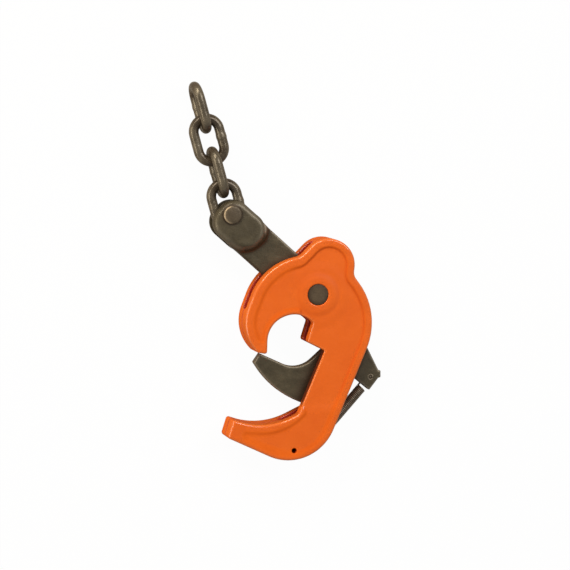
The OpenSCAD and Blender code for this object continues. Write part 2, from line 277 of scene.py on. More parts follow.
def forged(name, rim, holes, creases, spacing, top, bottom, marks, wall_mark=None):
    """Closed solid between two height functions, over the loop rim[0] less the loops holes[i][0].

    marks(points) gives the masks to store on the upper and lower surface's points. The faces of
    the lower side get "inner" 1, and the walls "wall" 1 and the "shaded" that wall_mark gives.
    """
    loops = rim + [loop for ring in holes for loop in ring] + creases
    points = np.concatenate(loops)
    edges = []
    start = 0
    for loop in loops:
        n = len(loop)
        edges += [(start + i, start + (i + 1) % n) for i in range(n)]
        start += n
    tree = KDTree(len(points))
    for i, p in enumerate(points):
        tree.insert((*p, 0), i)
    tree.balance()
    low, high = rim[0].min(0), rim[0].max(0)
    fill = np.array([
        (x, y) for k, y in enumerate(np.arange(low[1], high[1], spacing * HEX_ROW))
        for x in np.arange(low[0] + (k % 2) * spacing / 2, high[0], spacing)])
    fill = fill[inside_by(fill, rim[0]) > spacing * 0.5]
    fill = np.array([p for p in fill if tree.find((*p, 0))[2] > spacing * 0.55])
    points = np.concatenate([points, fill])
    joined_up = delaunay_2d_cdt([Vector(p) for p in points], edges, [], 0, 1e-4)
    flat = np.array([tuple(p) for p in joined_up[0]])
    faces = np.array([f for f in joined_up[2] if len(f) == 3])
    middle = flat[faces].mean(1)
    keep = inside_by(middle, rim[0]) > 0
    for ring in holes:
        keep &= inside_by(middle, ring[0]) < 0
    used, faces = np.unique(faces[keep], return_inverse=True)
    flat, faces = flat[used], faces.reshape(-1, 3)
    turn = cross2((flat[faces[:, 1]] - flat[faces[:, 0]]).T, (flat[faces[:, 2]] - flat[faces[:, 0]]).T)
    faces[turn < 0] = faces[turn < 0][:, ::-1]
    sides = np.concatenate([faces[:, [0, 1]], faces[:, [1, 2]], faces[:, [2, 0]]])
    key = np.sort(sides, 1) @ np.array([len(flat), 1])
    _, first, times = np.unique(key, return_index=True, return_counts=True)
    border = sides[first[times == 1]]
    n = len(flat)
    upper = np.column_stack([flat, top(flat)])
    lower = np.column_stack([flat, bottom(flat)])
    walls = [(int(b), int(a), int(a) + n, int(b) + n) for a, b in border]
    obj = shell(
        name, np.concatenate([upper, lower]), faces.tolist() + (faces[:, ::-1] + n).tolist() + walls)
    for mark, values in marks(flat).items():
        keep_mask(obj.data, mark, "POINT", np.tile(values, 2))
    shaded = wall_mark(flat[border].mean(1)) if wall_mark else 0.0
    for mark, on_top, below, on_walls in (
            ("inner", 0, 1, 0), ("wall", 0, 0, 1), ("shaded", 0, 0, shaded)):
        keep_mask(obj.data, mark, "FACE", np.concatenate([
            np.full(len(faces), on_top), np.full(len(faces), below),
            np.ones(len(walls)) * on_walls]))
    obj.data.shade_smooth()
    obj.data.validate()
    return obj


grip = np.array([-18.3, -34.6])
crown_c = grip + [11.2, 18.4]
nose_c = grip + [-6.4, 14.6]
head_c = np.array([8.5, 21.9])
back_c = grip + [9.5, 12.5]
sole_dir = ray(SOLE_A)
back_line = line_at(-LEG_LEAN, back_c @ ray(-LEG_LEAN) + BACK_R)
leg_front = line_at(-LEG_LEAN, LEG_FRONT_IN)
toe = meet(back_line[0], back_line[1], [0, -TOE_Y], [1, 0])
tip_low = meet(toe, sole_dir, [-FOOT_REACH, 0], [0, 1])
tip_top = tip_low + [4.4, 13.7]
heel_top = grip + ray(45, GRIP_R) + ray(-45)
heel_low = heel_top + [-4.6, -14.3]
lip = meet(leg_front[0], leg_front[1], heel_low - [0, 6.9], [1, 0])
ankle = meet(leg_front[0], leg_front[1], [0, tip_top[1] + 2.8], [1, 0])
instep = tip_top + [25.4, -9]
back_front = leg_front[0] + ray(-LEG_LEAN, LEG_BACK_IN)
back_lip = meet(back_front, leg_front[1], lip, lip - heel_low)
back_ankle = meet(back_front, leg_front[1], ankle, ankle - instep)
tether = toe - sole_dir * TETHER_IN + left_of(sole_dir) * TETHER_UP


def hook_corners(rim, nose_rim, nose_out, neck_r, brow_r):
    """Arcs of a cheek from its back over its head and crown to its nose, inside rims so wide."""
    back, head, crown, nose = BACK_R - rim, HEAD_R - rim, CROWN_R - nose_rim, NOSE_R - nose_rim
    return [
        arc_corner(back_c, back, -LEG_LEAN, BACK_OUT),
        corner(crossing(tangent(back_c, back, BACK_OUT), tangent(head_c, head, HEAD_IN)), neck_r),
        arc_corner(head_c, head, HEAD_IN, HEAD_MID),
        arc_corner(head_c, head, HEAD_MID, HEAD_OUT),
        corner(crossing(tangent(head_c, head, HEAD_OUT), tangent(crown_c, crown, CROWN_IN)), brow_r),
        arc_corner(crown_c, crown, CROWN_IN, NOSE_IN),
        arc_corner(nose_c, nose, NOSE_IN, nose_out)]


def cheek_corners(lip, ankle):
    """Outline of a cheek, by where its leg's front edge begins and ends."""
    return [
        corner(tip_low, 2.5),
        corner(toe, TOE_R),
        *hook_corners(0, 0, NOSE_OUT, 8, 10),
        corner(nose_c + ray(NOSE_OUT, NOSE_R) + ray(NOSE_OUT + 90, 2.6), 2),
        corner(grip + [-GRIP_R - 0.8, -9.4], 1.8),
        arc_corner(grip, GRIP_R, 180, 112.5),
        arc_corner(grip, GRIP_R, 112.5, 45),
        corner(heel_top, 1.2),
        corner(heel_low, 2.2),
        corner(lip, 1.5),
        corner(ankle, 5),
        corner(instep, 54),
        corner(tip_top, 2)]


RIM_NOSE = RIM_W + 1
RIM_GRIP = 3.8
nose_web, grip_web = NOSE_R - RIM_NOSE, GRIP_R + RIM_GRIP
sole_in = (toe + left_of(sole_dir) * 5, sole_dir)
back_in = line_at(-LEG_LEAN, back_c @ ray(-LEG_LEAN) + BACK_R - RIM_W)
WEB_NOSE_OUT, WEB_GRIP_OUT = 200.0, 176.0


def web_corners(leg_foot):
    """Outline of a cheek's web, which runs out over the leg's front edge down to leg_foot."""
    return [
        corner(meet(sole_in[0], sole_in[1], [14 - FOOT_REACH, 0], [0, 1]), 1.4),
        corner(crossing(sole_in, back_in), TOE_R - RIM_W),
        *hook_corners(RIM_W, RIM_NOSE, WEB_NOSE_OUT, 10, 12),
        corner(nose_c + ray(WEB_NOSE_OUT, nose_web) + ray(WEB_NOSE_OUT + 90, 5.8), 1.3),
        corner(grip + ray(WEB_GRIP_OUT, grip_web) + ray(WEB_GRIP_OUT + 90, 2.2), 1.3),
        arc_corner(grip, grip_web, WEB_GRIP_OUT, 136),
        arc_corner(grip, grip_web, 136, 96),
        corner(grip + [5, 24.6], 2),
        corner(grip + [5, 12], 2),
        corner(grip + [4.5, -4], 2),
        corner(lip + [-8, -5], 2),
        corner(ankle + [0, 8.5], 2),
        corner(leg_foot + [6.2, 1], 3),
        corner(ankle + [-11.6, -15.5], 44),
        corner(tip_top + [8.3, -10.2], 1.4)]


# The cheeks meet outside the room of the lever's hub, on the nose and along the sole.
HUB_ROOM = HUB_R + 3.5
NOSE_ROOM = 7.5
SOLE_OUT, SOLE_IN, SOLE_UP = 58, 13, 12.5
SLOT_TOP_A, SLOT_TOP_IN = 7.6, 2
SKIN = 0.03
MEET_IN = 0.9
RIM_EDGE = 1.9
WEB_EDGE = 1.2
INNER_EDGE = 0.8
WEB_SLOPE = 1.2
BOSS_SLOPE = 6.0
BOSS_IN = 2.4
BORE_EDGE = 0.8
TETHER_EDGE = 0.6


def half_plane(points, angle, distance):
    """How far points lie past a line that is square to a direction."""
    return points @ ray(angle) - distance


def by_sole(points):
    """How far points lie along the sole and above it."""
    return np.stack([sole_dir, left_of(sole_dir)]) @ (points - sole_in[0]).T


def cheeks_meet(points):
    """Distance inside the areas where the cheeks reach the middle plane, negative in the slot."""
    spine = np.minimum.reduce([
        half_plane(points, TAIL_EDGE_A + OPEN_A, TAIL_EDGE_D + SWEEP_GAP),
        from_centre(points) - HUB_ROOM, half_plane(points, SLOT_TOP_A, SLOT_TOP_IN)])
    nose = np.minimum(
        half_plane(points, ARM_A + OPEN_A + 90, ARM_LOW + SWEEP_GAP),
        grip[0] - NOSE_ROOM - points[:, 0])
    along, above = by_sole(points)
    sole = np.minimum.reduce([along + SOLE_OUT, -SOLE_IN - along, SOLE_UP - above])
    return np.maximum.reduce([spine, nose, sole])


def web_slope(points):
    """Half width of the web's sloped edge: short at the back, long and faint elsewhere."""
    nose = 0.7 * ease((-8 - points[:, 0]) / 16) * ease((points[:, 1] + 62) / 12)
    foot = 0.7 * ease((-70 - points[:, 1]) / 20)
    sole = 2.2 * ease((9 - by_sole(points)[1]) / 6) * ease((-96 - points[:, 1]) / 22)
    return WEB_SLOPE + np.maximum.reduce([nose, foot, foot + sole])


def cheek_forging(name, corners, web):
    """One cheek with its outer face up, from the corners of its outline and of its web."""
    rim_line, web_line = outline(corners, SKIN), outline(web)

    def web_share(points):
        """1 down on the web, 0 up on the rim and on the boss, easing between."""
        slope = web_slope(points)
        share = ease((inside_by(points, web_line) + slope) / (2 * slope))
        return share * ease((from_centre(points) - BOSS_R + BOSS_IN) / BOSS_SLOPE)

    def outer_face(points):
        share = web_share(points)
        edge = RIM_EDGE + (WEB_EDGE - RIM_EDGE) * share
        shallow = np.maximum.reduce([
            0.65 * ease((-70 - points[:, 1]) / 20), 0.65 * ease((-8 - points[:, 0]) / 14),
            0.45 + 0.2 * ease((27 - from_centre(points)) / 8)])
        return (
            BODY_T - WEB_DROP * (1 - shallow) * share - rounded_off(inside_by(points, rim_line), edge)
            - rounded_off(from_centre(points) - PIN_D / 2, BORE_EDGE)
            - rounded_off(from_centre(points, tether) - TETHER_D / 2, TETHER_EDGE))

    def inner_face(points):
        meeting = ease((cheeks_meet(points) - MEET_IN) / 0.5 + 0.5)
        inner_edge = rounded_off(inside_by(points, rim_line), INNER_EDGE)
        return MID_Z + (SLOT_W / 2) * (1 - meeting) + inner_edge

    def paint_marks(points):
        """Masks for paint: worn edges with a painted highlight, painted shade in the web's crease and
        round the boss, and dull slopes.
        """
        depth = inside_by(points, rim_line)
        inside_web = inside_by(points, web_line)
        faint = (WEB_SLOPE / web_slope(points)) ** 2
        # Painted shade along the foot of the web's slope and in a ring round the boss.
        hollow = faint * band(inside_web - WEB_SLOPE * 0.2, 0.9) * (depth > 1)
        hollow += 0.3 * band(from_centre(points) - BOSS_R - 1.2, 0.7)
        dull = np.exp(-(inside_web / (web_slope(points) + 0.3)) ** 4) * (depth > 2.5)
        # The edge band is worn paint and a painted highlight.
        return {"arris": band(depth - 0.6, 0.7), "hollow": np.minimum(hollow, 1), "dull": dull}

    rim_rings = [outline(corners, SKIN + d) for d in round_rings(RIM_EDGE)]
    web_rings = [outline(web, WEB_SLOPE * k / 4) for k in range(-4, 5)]
    bore_rings = [circle((0, 0), PIN_D / 2 + d, 120) for d in round_rings(BORE_EDGE, 5)]
    boss_rings = [circle((0, 0), BOSS_R - BOSS_IN + BOSS_SLOPE * k / 6, 120) for k in range(7)]
    tether_rings = [circle(tether, TETHER_D / 2 + d, 40) for d in round_rings(TETHER_EDGE, 4)]

    def wall_shade(points):
        """Painted shade on the walls inside the throat, darkest on the leg's front wall and fading out
        above the ankle.
        """
        leg = (np.abs((points - back_front) @ ray(-LEG_LEAN) + LEG_BACK_IN / 2) < LEG_BACK_IN / 2 + 1)
        heel = from_centre(points, (heel_top + heel_low) / 2) < 8.5
        leg = leg * (points[:, 1] < lip[1] + 1) * ease((points[:, 1] - ankle[1] - 4) / 6) * ~heel
        # Lighter painted shade on the foot's top wall.
        instep_wall = (
            (by_sole(points)[1] > 5) * (points[:, 1] < ankle[1] + 1) * (points[:, 0] > tip_top[0] + 1))
        return np.maximum(leg, instep_wall * 0.26)

    return forged(
        name, rim_rings, [bore_rings, tether_rings], web_rings + boss_rings, FINE_STEP,
        outer_face, inner_face, paint_marks, wall_shade)


front = cheek_forging("front_cheek_forging", cheek_corners(lip, ankle), web_corners(ankle))
rear = cheek_forging(
    "back_cheek_forging", cheek_corners(back_lip, back_ankle), web_corners(back_ankle))
turn_over = Matrix.Translation((0, 0, BODY_T * MM)) @ Matrix.Scale(-1, 4, (0, 0, 1))
rear.data.transform(turn_over)
rear.data.flip_normals()


def set_inputs(node, values):
    """Sets a node's sockets, whose names have _ for their spaces here."""
    for key, value in values.items():
        node.inputs[key.replace("_", " ")].default_value = value


def group_node(tree, group, **values):
    node = tree.nodes.new("ShaderNodeGroup")
    node.node_tree = group
    set_inputs(node, values)
    return node


def shader_group(name, inputs, output, kind):
    """An empty shader node group: its tree, its inputs' sockets and its output's socket."""
    tree = bpy.data.node_groups.new(name, "ShaderNodeTree")
    for title in inputs:
        tree.interface.new_socket(title, in_out="INPUT", socket_type="NodeSocketFloat")
    tree.interface.new_socket(output, in_out="OUTPUT", socket_type=kind)
    given = tree.nodes.new("NodeGroupInput")
    out = tree.nodes.new("NodeGroupOutput")
    return tree, given.outputs, out.inputs[0]


def noise(tree, scale, detail):
    """Noise over the piece's own coordinates, with its scale from a socket."""
    place = tree.nodes.new("ShaderNodeTexCoord")
    node = tree.nodes.new("ShaderNodeTexNoise")
    node.inputs["Detail"].default_value = detail
    tree.links.new(place.outputs["Object"], node.inputs["Vector"])
    tree.links.new(scale, node.inputs["Scale"])
    return node.outputs["Fac"]


def maths(tree, operation, first, second):
    """Output of a math node, fed by a socket and by another socket or a number."""
    node = tree.nodes.new("ShaderNodeMath")
    node.operation = operation
    tree.links.new(first, node.inputs[0])
    if isinstance(second, float):
        node.inputs[1].default_value = second
    else:
        tree.links.new(second, node.inputs[1])
    return node.outputs[0]


def mottle_group():
    """Uneven tone of a hand-finished surface: soft clouds with finer flecks over them."""
    tree, given, tone = shader_group(
        "mottled_tone", ("Cloud Scale", "Fleck Scale", "Flecks"), "Tone", "NodeSocketFloat")
    mix = tree.nodes.new("ShaderNodeMix")
    tree.links.new(given["Flecks"], mix.inputs["Factor"])
    tree.links.new(noise(tree, given["Cloud Scale"], 3), mix.inputs["A"])
    tree.links.new(noise(tree, given["Fleck Scale"], 4), mix.inputs["B"])
    tree.links.new(mix.outputs["Result"], tone)
    return tree


def grain_group():
    """Fine unevenness of a forged or painted surface, as a normal."""
    tree, given, normal = shader_group(
        "surface_grain", ("Coarse Scale", "Fine Scale", "Coarse Height", "Fine Height"),
        "Normal", "NodeSocketVector")
    coarse, fine = (
        maths(tree, "MULTIPLY", noise(tree, given[size + " Scale"], 2), given[size + " Height"])
        for size in ("Coarse", "Fine"))
    bump = tree.nodes.new("ShaderNodeBump")
    bump.inputs["Distance"].default_value = MM
    tree.links.new(maths(tree, "ADD", coarse, fine), bump.inputs["Height"])
    tree.links.new(bump.outputs["Normal"], normal)
    return tree


MOTTLE = mottle_group()
GRAIN = grain_group()


def material(name, **values):
    """A new material and its Principled shader, with plain values set on the shader's sockets."""
    mat = bpy.data.materials.new(name)
    mat.use_nodes = True
    shader = mat.node_tree.nodes["Principled BSDF"]
    set_inputs(shader, values)
    return mat, mat.node_tree, shader


def mottled(tree, stops, **tone):
    """A colour that wanders between the stops with the mottled tone."""
    node = tree.nodes.new("ShaderNodeValToRGB")
    tree.links.new(group_node(tree, MOTTLE, **tone).outputs["Tone"], node.inputs["Fac"])
    while len(node.color_ramp.elements) < len(stops):
        node.color_ramp.elements.new(0.5)
    for element, (position, colour) in zip(node.color_ramp.elements, stops):
        element.position = position
        element.color = (*colour, 1)
    return node.outputs["Color"]


def stored(tree, name):
    """Output of the mask that is stored under this name."""
    node = tree.nodes.new("ShaderNodeAttribute")
    node.attribute_name = name
    return node.outputs["Fac"]


def toned(tree, base, mark, colour, strength):
    """base, turned towards colour where the stored mark is high."""
    share = maths(tree, "MULTIPLY", stored(tree, mark), strength)
    share.node.use_clamp = True
    mix = tree.nodes.new("ShaderNodeMix")
    mix.data_type = "RGBA"
    tree.links.new(share, mix.inputs["Factor"])
    tree.links.new(base, mix.inputs[6])
    mix.inputs[7].default_value = (*colour, 1)
    return mix.outputs[2]


def between(tree, source, low, high):
    """A value that runs from low to high as source runs from 0 to 1."""
    node = tree.nodes.new("ShaderNodeMapRange")
    set_inputs(node, {"To Min": low, "To Max": high})
    tree.links.new(source, node.inputs["Value"])
    return node.outputs["Result"]


def surfaced(tree, shader, colour, **grain):
    """Links a colour and a fine grain to the shader."""
    tree.links.new(colour, shader.inputs["Base Color"])
    tree.links.new(group_node(tree, GRAIN, **grain).outputs["Normal"], shader.inputs["Normal"])


def orange_paint():
    """Stove paint, glossier on the edges and unpolished on the walls, with painted shade in the
    creases, between the cheeks and on the throat's walls, and worn edges lightened with a painted
    highlight.
    """
    mat, tree, shader = material(
        "orange_stove_paint", Coat_Roughness=0.07, Coat_IOR=2.0, Specular_IOR_Level=0.2)
    colour = mottled(tree, [
        (0.3, (0.712, 0.110, 0.004)), (0.5, (0.745, 0.122, 0.005)), (0.72, (0.778, 0.134, 0.007))],
        Cloud_Scale=45, Fleck_Scale=600, Flecks=0.3)
    # Painted shade: darker orange in the web's crease and round the boss.
    colour = toned(tree, colour, "hollow", (0.50, 0.055, 0.006), 0.5)
    # Lighter edges: worn paint and a painted highlight.
    colour = toned(tree, colour, "arris", (0.86, 0.22, 0.025), 0.4)
    # Painted shade: dark red on the faces between the cheeks.
    colour = toned(tree, colour, "inner", (0.45, 0.022, 0.014), 0.9)
    # Painted shade: near black on the walls inside the throat.
    colour = toned(tree, colour, "shaded", (0.05, 0.008, 0.003), 0.9)
    surfaced(
        tree, shader, colour, Coarse_Scale=110, Fine_Scale=700, Coarse_Height=0.35, Fine_Height=0.05)
    unpolished = maths(tree, "MAXIMUM", stored(tree, "wall"), stored(tree, "dull"))
    gloss = maths(
        tree, "MULTIPLY", between(tree, unpolished, 1, 0),
        between(tree, stored(tree, "arris"), 0.15, 0.55))
    tree.links.new(gloss, shader.inputs["Coat Weight"])
    tree.links.new(between(tree, unpolished, 0.45, 0.85), shader.inputs["Roughness"])
    return mat


def placed(obj, mat, body, node):
    """Gives a piece its material and the body it rides on, and hides the CAD node it stands for."""
    if mat:
        obj.data.materials.append(mat)
    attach(obj, body)
    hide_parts(node)


ORANGE = orange_paint()
placed(front, ORANGE, "clamp_body", "front_cheek")
placed(rear, ORANGE, "clamp_body", "back_cheek")


# Main pin: a ground steel pin, pressed through both cheeks and left a hair below the boss, with
# a bevelled end that still shows the saw and the press.
def turned_piece(name, profile, at=(0, 0), segments=96):
    """Solid of revolution about Z through at, from (radius, height) pairs that start and end on it."""
    rows = [p for p in profile if p[0] > 1e-6]
    points = [(at[0], at[1], profile[0][1]), (at[0], at[1], profile[-1][1])]
    for r, z in rows:
        for k in range(segments):
            a = 2 * math.pi * k / segments
            points.append((at[0] + r * math.cos(a), at[1] + r * math.sin(a), z))
    faces = []
    last = 2 + (len(rows) - 1) * segments
    for k in range(segments):
        n = (k + 1) % segments
        faces.append((0, 2 + n, 2 + k))
        faces.append((1, last + k, last + n))
        for j in range(len(rows) - 1):
            a, b = 2 + j * segments, 2 + (j + 1) * segments
            faces.append((a + k, a + n, b + n, b + k))
    obj = shell(name, points, faces)
    obj.data.shade_smooth()
    return obj


def edged(radius, low, high, round_r, steps=4):
    """Profile of a pin with both ends rounded over."""
    turns = [math.pi / 2 * k / steps for k in range(steps + 1)]
    flat_r = radius - round_r
    foot = [(flat_r + round_r * math.sin(a), low + round_r - round_r * math.cos(a)) for a in turns]
    head = [(flat_r + round_r * math.cos(a), high - round_r + round_r * math.sin(a)) for a in turns]
    return [(0, low), (radius * 0.6, low)] + foot + head + [(radius * 0.6, high), (0, high)]


def dark_steel(name, light, dark, wear_and_highlight_colour=(0.38, 0.33, 0.255), roughness=0.4):
    """Oiled, phosphated forging steel with brown-black mottling, painted shade where a mark asks for
    it, and lighter worn edges with painted highlights.
    """
    mat, tree, shader = material(name, Roughness=roughness, Metallic=0.35)
    middle = tuple((a + b) / 2 for a, b in zip(light, dark))
    colour = mottled(
        tree, [(0.32, dark), (0.5, middle), (0.68, light)],
        Cloud_Scale=140, Fleck_Scale=1500, Flecks=0.45)
    # Painted shade: near black where the mark is high.
    colour = toned(tree, colour, "hollow", (0.035, 0.016, 0.007), 0.8)
    # Lighter where worn, and as a painted highlight.
    colour = toned(tree, colour, "arris", wear_and_highlight_colour, 0.6)
    surfaced(
        tree, shader, colour, Coarse_Scale=160, Fine_Scale=1300, Coarse_Height=0.3, Fine_Height=0.09)
    return mat


PIN_STEEL = dark_steel("pin_steel", (0.125, 0.085, 0.047), (0.068, 0.046, 0.025))


def store(obj, **marks):
    """Stores one mask for each vertex of obj under each name."""
    for mark, values in marks.items():
        keep_mask(obj.data, mark, "POINT", np.clip(values, 0, 1))


def vertices_mm(obj):
    points = np.empty(len(obj.data.vertices) * 3, np.float32)
    obj.data.vertices.foreach_get("co", points)
    return points.reshape(-1, 3) / MM


main_pin = turned_piece("main_pin_turned", edged(PIN_D / 2, 0, BODY_T - 0.5, 0.5))
# Painted shade on the pin's end, at its rim by the bore.
rim_shade = (from_centre(vertices_mm(main_pin)) - PIN_D / 2 + 0.9) / 0.5
store(main_pin, arris=rim_shade * 0, hollow=rim_shade)
placed(main_pin, PIN_STEEL, "clamp_body", "main_pin")


# Lifting lever: one heavy drop forging. A flat plate makes arm, hub, jaw and tail, and the arm's
# end swells into the two cheeks of the clevis. It is shot blasted, phosphated and oiled.
LEVER_T = 8.4
ARM_LEN = 89.0
ARM_UP = 13.3
CLEVIS_T = 23.0
CLEVIS_GAP = 9.0
CLEVIS_W = 30.5
CLEVIS_PIN_D = 10.0
RUN_GAP = 0.05
ROLL_PIN_D = 5.0
SPRING_A = 48.0
SPRING_SPAN = 63.9
SPRING_WIRE = 1.3
STEEL = dark_steel("oiled_forged_steel", (0.102, 0.081, 0.046), (0.052, 0.041, 0.0225))


def at_arm(s, t):
    """Point at distance s out along the arm and t above its line through the main pin."""
    return ray(ARM_A, s) + ray(ARM_A - 90, t)


clevis_pin_at = at_arm(ARM_LEN, 1.7)
tail_pin_at = ray(-56.15, 77.6)
anchor = tail_pin_at - ray(SPRING_A, SPRING_SPAN)
jaw_tip = grip + [-24.3, -9.8]
jaw_heel = jaw_tip + [-4.7, -6.7]
lever_corners = [
    corner(at_arm(ARM_LEN - 13, -ARM_LOW), 1),
    corner(grip + [33.1, 0.1], 10),
    corner(grip + [6.2, -24], 20),
    corner(jaw_tip, 0.8),
    corner(jaw_heel, 1),
    corner(jaw_heel + [14.2, -22.2], 70),
    corner(grip + [16.1, -51.4], 9),
    *[corner(tail_pin_at + [x, y], r) for x, y, r in (
        (-13.3, 0.4, 2), (-0.8, -10, 0.8), (6.3, -1, 0.5), (8.2, -0.4, 0.4), (8.2, 4.5, 0.4),
        (6.3, 5.4, 0.4))],
    corner(crossing(line_at(TAIL_EDGE_A, TAIL_EDGE_D), line_at(ARM_A - 90, ARM_UP)), 20),
    corner(at_arm(ARM_LEN - 13, ARM_UP), 1)]
CLEVIS_ROOT, CLEVIS_END = ARM_LEN - 30, ARM_LEN + 9.9
CLEVIS_LOW_BY = 1.1
SLOT_FLOOR = ARM_LEN - 15.5
ROOT_R, END_R = 13.5, 13
clevis_corners = [
    corner(ray(ARM_A, s) + ray(ARM_A + 90, CLEVIS_LOW_BY + side * CLEVIS_W / 2), r)
    for s, side, r in (
        (CLEVIS_ROOT, -1, ROOT_R), (CLEVIS_END, -1, END_R),
        (CLEVIS_END, 1, END_R), (CLEVIS_ROOT, 1, ROOT_R))]
LEVER_EDGE = 1.3
CLEVIS_EDGE = 4.4
SWELL_OUT, SWELL_IN = 3.8, 4.6
lever_loop = outline(lever_corners)
clevis_loop = outline(clevis_corners)


def root_shift(points):
    """How far the swell's foot lies out from the clevis's outline: more on the arm's upper side."""
    return np.clip(0.18 * points @ ray(ARM_A - 90) + 0.7, -1.2, 1.6)


def root_swell(points, depth):
    """Half thickness where the arm swells into the clevis, by the depth inside its outline."""
    rise = ease((depth + root_shift(points) + SWELL_OUT) / (SWELL_OUT + SWELL_IN))
    return LEVER_T / 2 + (CLEVIS_T - LEVER_T) / 2 * rise


def lever_half(points):
    """Half the plate's thickness, swelling up to meet the clevis."""
    edge = rounded_off(inside_by(points, lever_loop), LEVER_EDGE)
    return root_swell(points, np.minimum(inside_by(points, clevis_loop), 0)) - edge


def root_mark(points):
    """Mask of painted shade in the valley round the clevis's root."""
    return band(inside_by(points, clevis_loop) + 1.8 + 1.3 * root_shift(points), 2.0)


def shoulder_highlight(points):
    """Mask of a painted highlight: a streak on the upper shoulder of the clevis's root."""
    along, across = points @ ray(ARM_A), points @ ray(ARM_A - 90)
    streak = band(inside_by(points, clevis_loop) + 0.7, 0.8)
    return streak * ease((across - 6.5) / 3) * ease((13.5 - across) / 2) * (along < ARM_LEN - 20)


def cheek_shadow_marks(points):
    """Mask of painted shadow on the plate along the cheeks' edges, on the arm by the crown and on the
    jaw beside the leg.
    """
    outside = -inside_by(points, outline(cheek_corners(lip, ankle)))
    tail = band(outside - 2.8, 1.0) * (points[:, 0] > 20)
    arm = band(np.maximum(outside, 0), 2.4) * (points @ ray(ARM_A) > 20)
    before = LEG_FRONT_IN - points @ ray(-LEG_LEAN)
    jaw = band(np.maximum(before, 0), 7.0) * (points[:, 1] < lip[1]) * (points[:, 0] < 25)
    return np.maximum.reduce([tail * 0.9, arm * 0.8, jaw * 0.9])


def lever_marks(points):
    depth = inside_by(points, lever_loop)
    root, glint, painted_shadow = root_mark(points), shoulder_highlight(points), cheek_shadow_marks(points)
    low_edge = (points @ ray(ARM_A) > 20) * (points @ ray(ARM_A - 90) < 0)
    # Lighter worn edges, partly a painted highlight, left off the arm's lower edge.
    worn = 0.75 * band(depth - 0.5, 0.6) * (1 - root) * (1 - painted_shadow) * (1 - low_edge)
    # Painted shade along the arm's lower edge.
    low_edge_shade = low_edge * band(depth, 1.3) * 0.7
    return {"arris": worn + glint * 1.7,
            "hollow": np.maximum.reduce([root * 0.9 * (1 - glint), painted_shadow, low_edge_shade])}


def clevis_half(points):
    """Half the clevis's thickness: round at its free edge, a soft slope at its root."""
    depth = inside_by(points, clevis_loop)
    along = points @ ray(ARM_A)
    root = ease((ARM_LEN - 9 - along) / 12)
    free = CLEVIS_T / 2 - rounded_off(depth, CLEVIS_EDGE)
    return free + (root_swell(points, depth) - free) * root


def clevis_marks(points):
    depth = inside_by(points, clevis_loop)
    # Painted shadow in a ring round the pin's head.
    head_shadow = band(from_centre(points, clevis_pin_at) - 7.4, 0.7)
    along = points @ ray(ARM_A)
    glint = shoulder_highlight(points)
    root = root_mark(points) * ease((ARM_LEN - 9 - along) / 12) * (1 - glint)
    sides = ease((CLEVIS_END - 3 - along) / 8)
    # A painted highlight band on the rounded shoulder, kept off the free end, and painted shade in the
    # root's valley.
    return {"arris": 0.4 * band(depth - 2.0, 1.7) * (1 - root) * sides + glint * 1.7,
            "hollow": np.maximum(head_shadow, root * 0.9)}


lever_plate = forged(
    "lever_plate", [outline(lever_corners, d) for d in round_rings(LEVER_EDGE, 5)],
    [[circle((0, 0), PIN_D / 2 + RUN_GAP, 96)],
     [circle(tail_pin_at, ROLL_PIN_D / 2, 48), circle(tail_pin_at, ROLL_PIN_D / 2 + 0.3, 48)]],
    [outline(clevis_corners, -SWELL_OUT * k / 5) for k in range(6)], 1.4,
    lambda p: MID_Z + lever_half(p), lambda p: MID_Z - lever_half(p), lever_marks)
clevis_block = forged(
    "clevis_block", [outline(clevis_corners, d) for d in round_rings(CLEVIS_EDGE, 10)],
    [[circle(clevis_pin_at, CLEVIS_PIN_D / 2, 72)]], [], 1.2,
    lambda p: MID_Z + clevis_half(p), lambda p: MID_Z - clevis_half(p), clevis_marks)


def box_piece(name, origin, angle, low, high, half):
    """Box about the middle plane: low and high are its corners along and across a direction."""
    (s0, t0), (s1, t1) = low, high
    corners = [
        origin + ray(angle, s) + ray(angle + 90, t)
        for s, t in ((s0, t0), (s1, t0), (s1, t1), (s0, t1))]
    points = [(x, y, MID_Z + z) for z in (-half, half) for x, y in corners]
    sides = [(i, (i + 1) % 4, 4 + (i + 1) % 4, 4 + i) for i in range(4)]
    return shell(name, points, [(3, 2, 1, 0), (4, 5, 6, 7)] + sides)


def applied(obj):
    """Makes obj's plain mesh of what its modifiers give, and removes them."""
    graph = bpy.context.evaluated_depsgraph_get()
    made = bpy.data.meshes.new_from_object(obj.evaluated_get(graph))
    obj.modifiers.clear()
    old = obj.data
    obj.data = made
    bpy.data.meshes.remove(old)
    made.name = obj.name


def cut(obj, cutter):
    """Cuts cutter out of obj and deletes it."""
    step = obj.modifiers.new("cut", "BOOLEAN")
    step.operation = "DIFFERENCE"
    step.solver = "EXACT"
    step.object = cutter
    applied(obj)
    bpy.data.objects.remove(cutter)


PAST_END = 40
PAST_SIDE = 30
slot_low, slot_high = (SLOT_FLOOR, -PAST_SIDE), (ARM_LEN + PAST_END, PAST_SIDE)
cut(clevis_block, box_piece("clevis_slot", (0, 0), ARM_A, slot_low, slot_high, CLEVIS_GAP / 2))
cut(lever_plate, box_piece("arm_slot", (0, 0), ARM_A, slot_low, slot_high, CLEVIS_GAP))
SLIT_W = SPRING_WIRE + 0.9
SLIT_REACH = ROLL_PIN_D / 2 + SPRING_WIRE + 1
cut(lever_plate, box_piece(
    "spring_slit", tail_pin_at, SPRING_A, (-20, -SLIT_REACH), (SLIT_REACH, SLIT_REACH), SLIT_W / 2))


def joined(name, parts):
    """One object from several closed shells."""
    merged = bmesh.new()
    for part in parts:
        merged.from_mesh(part.data)
    mesh = bpy.data.meshes.new(name)
    merged.to_mesh(mesh)
    merged.free()
    for part in parts:
        bpy.data.objects.remove(part)
    return in_scene(name, mesh)


